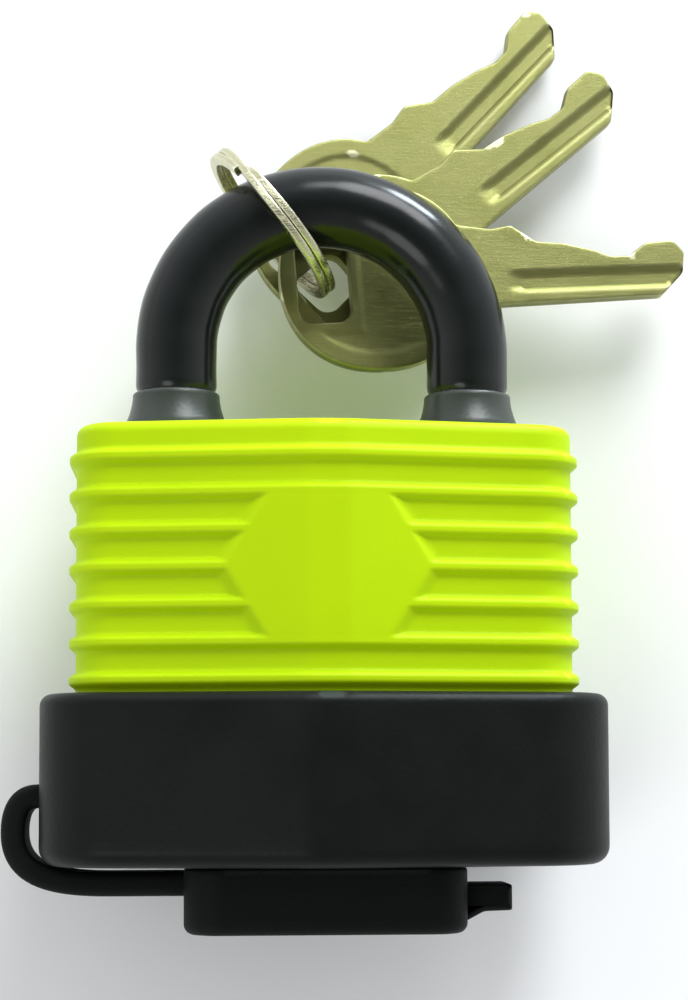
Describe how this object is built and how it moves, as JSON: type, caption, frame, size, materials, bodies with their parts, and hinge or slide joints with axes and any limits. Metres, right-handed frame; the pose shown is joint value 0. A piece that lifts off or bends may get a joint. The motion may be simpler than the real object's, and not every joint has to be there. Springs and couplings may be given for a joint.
{
  "type": "padlock",
  "caption": "Weatherproof laminated padlock with a plastic cover, sleeved shackle, dust cap, and keys on a split ring.",
  "frame": {"origin": "middle of the flat land down the back of the bumper, on which the lock lies", "axes": "+X across the body towards the shackle's heel, +Y from the bumper towards the shackle, +Z out of the front face"},
  "size_m": [0.0791, 0.1099, 0.0356],
  "materials": {
    "lime_cover": "moulded lime-yellow plastic, satin",
    "black_bumper": "moulded black plastic, fine satin",
    "black_rubber": "soft moulded black rubber",
    "black_vinyl": "smooth shrunk vinyl sleeve, semi-gloss",
    "zinc_plated_steel": "zinc-plated steel",
    "hardened_steel": "ground hardened steel",
    "ring_steel": "nickel-plated spring steel",
    "brass": "machined brass",
    "nickel_brass": "tumbled nickel brass"
  },
  "bodies": {
    "body": {"bumper": "black_bumper", "cover": "lime_cover", "plate_01": "zinc_plated_steel", "plate_02": "zinc_plated_steel", "plate_03": "zinc_plated_steel", "plate_04": "zinc_plated_steel", "plate_05": "zinc_plated_steel", "plate_06": "zinc_plated_steel", "plate_07": "zinc_plated_steel", "plate_08": "zinc_plated_steel", "plate_09": "zinc_plated_steel", "plate_10": "zinc_plated_steel", "plate_11": "zinc_plated_steel", "plate_12": "zinc_plated_steel", "plate_13": "zinc_plated_steel", "plate_14": "zinc_plated_steel", "rivet_1": "zinc_plated_steel", "rivet_2": "zinc_plated_steel", "rivet_3": "zinc_plated_steel", "rivet_4": "zinc_plated_steel", "cylinder_shell": "brass", "chamber_cap": "brass", "shackle_spring": "zinc_plated_steel", "pin_spring_1": "zinc_plated_steel", "pin_spring_2": "zinc_plated_steel", "pin_spring_3": "zinc_plated_steel", "pin_spring_4": "zinc_plated_steel", "cap_strap": "black_rubber"},
    "shackle": {"shackle": "hardened_steel", "shackle_sleeve": "black_vinyl", "cuff_heel": "black_bumper", "cuff_toe": "black_bumper"},
    "plug": {"plug": "brass", "plug_clip": "zinc_plated_steel", "cam": "zinc_plated_steel"},
    "ball_heel": {"ball_heel": "hardened_steel"},
    "ball_toe": {"ball_toe": "hardened_steel"},
    "key_pin_1": {"key_pin_1": "brass"},
    "key_pin_2": {"key_pin_2": "brass"},
    "key_pin_3": {"key_pin_3": "brass"},
    "key_pin_4": {"key_pin_4": "brass"},
    "driver_pin_1": {"driver_pin_1": "brass"},
    "driver_pin_2": {"driver_pin_2": "brass"},
    "driver_pin_3": {"driver_pin_3": "brass"},
    "driver_pin_4": {"driver_pin_4": "brass"},
    "dust_cap": {"dust_cap": "black_rubber"},
    "key_ring": {"key_ring": "ring_steel"},
    "key_1": {"key_1": "nickel_brass"},
    "key_2": {"key_2": "nickel_brass"},
    "key_3": {"key_3": "nickel_brass"}
  },
  "joints": [
    {"name": "shackle_lift", "type": "slide", "parent": "body", "child": "shackle", "axis": [0, 1, 0], "range_m": [0, 0.015], "deforming": ["shackle_spring"]},
    {"name": "plug_turn", "type": "hinge", "parent": "body", "child": "plug", "pos_m": [0, 0.01075, 0.0178], "axis": [0, 1, 0], "range_deg": [-90, 0]},
    {"name": "ball_heel_slide", "type": "slide", "parent": "body", "child": "ball_heel", "axis": [1, 0, 0], "range_m": [0, 0.002]},
    {"name": "ball_toe_slide", "type": "slide", "parent": "body", "child": "ball_toe", "axis": [-1, 0, 0], "range_m": [0, 0.002]},
    {"name": "key_pin_1_drop", "type": "slide", "parent": "plug", "child": "key_pin_1", "axis": [0, 0, -1], "range_m": [0, 0.0015]},
    {"name": "driver_pin_1_drop", "type": "slide", "parent": "body", "child": "driver_pin_1", "axis": [0, 0, -1], "range_m": [0, 0.0015], "deforming": ["pin_spring_1"]},
    {"name": "key_pin_2_drop", "type": "slide", "parent": "plug", "child": "key_pin_2", "axis": [0, 0, -1], "range_m": [0, 0.0015]},
    {"name": "driver_pin_2_drop", "type": "slide", "parent": "body", "child": "driver_pin_2", "axis": [0, 0, -1], "range_m": [0, 0.0015], "deforming": ["pin_spring_2"]},
    {"name": "key_pin_3_drop", "type": "slide", "parent": "plug", "child": "key_pin_3", "axis": [0, 0, -1], "range_m": [0, 0.0015]},
    {"name": "driver_pin_3_drop", "type": "slide", "parent": "body", "child": "driver_pin_3", "axis": [0, 0, -1], "range_m": [0, 0.0015], "deforming": ["pin_spring_3"]},
    {"name": "key_pin_4_drop", "type": "slide", "parent": "plug", "child": "key_pin_4", "axis": [0, 0, -1], "range_m": [0, 0.0015]},
    {"name": "driver_pin_4_drop", "type": "slide", "parent": "body", "child": "driver_pin_4", "axis": [0, 0, -1], "range_m": [0, 0.0015], "deforming": ["pin_spring_4"]},
    {"name": "cap_swing", "type": "hinge", "parent": "body", "child": "dust_cap", "pos_m": [-0.033, -0.01135, 0.0178], "axis": [0, 0, 1], "range_deg": [-115, 0], "deforming": ["cap_strap"]},
    {"name": "ring_slide", "type": "hinge", "parent": "shackle", "child": "key_ring", "pos_m": [0, 0.04835, 0.0178], "axis": [0, 0, 1], "range_deg": [-15, 50]},
    {"name": "key_1_swing", "type": "hinge", "parent": "key_ring", "child": "key_1", "pos_m": [-0.00106, 0.05855, 0.0069], "axis": [0.0867, 0.0728, 0.9936], "range_deg": [-40, 3]},
    {"name": "key_2_swing", "type": "hinge", "parent": "key_ring", "child": "key_2", "pos_m": [-0.00007, 0.05737, 0.0089], "axis": [0.0867, 0.0728, 0.9936], "range_deg": [-35, 35]},
    {"name": "key_3_swing", "type": "hinge", "parent": "key_ring", "child": "key_3", "pos_m": [0.00049, 0.05671, 0.0109], "axis": [0.0867, 0.0728, 0.9936], "range_deg": [-15, 60]}
  ],
  "couplings": [
    {"joint": "ball_heel_slide", "follows": "plug_turn", "m_per_rad": -0.0012096},
    {"joint": "ball_toe_slide", "follows": "plug_turn", "m_per_rad": -0.0012096},
    {"joint": "driver_pin_1_drop", "follows": "key_pin_1_drop", "ratio": 1},
    {"joint": "driver_pin_2_drop", "follows": "key_pin_2_drop", "ratio": 1},
    {"joint": "driver_pin_3_drop", "follows": "key_pin_3_drop", "ratio": 1},
    {"joint": "driver_pin_4_drop", "follows": "key_pin_4_drop", "ratio": 1}
  ]
}
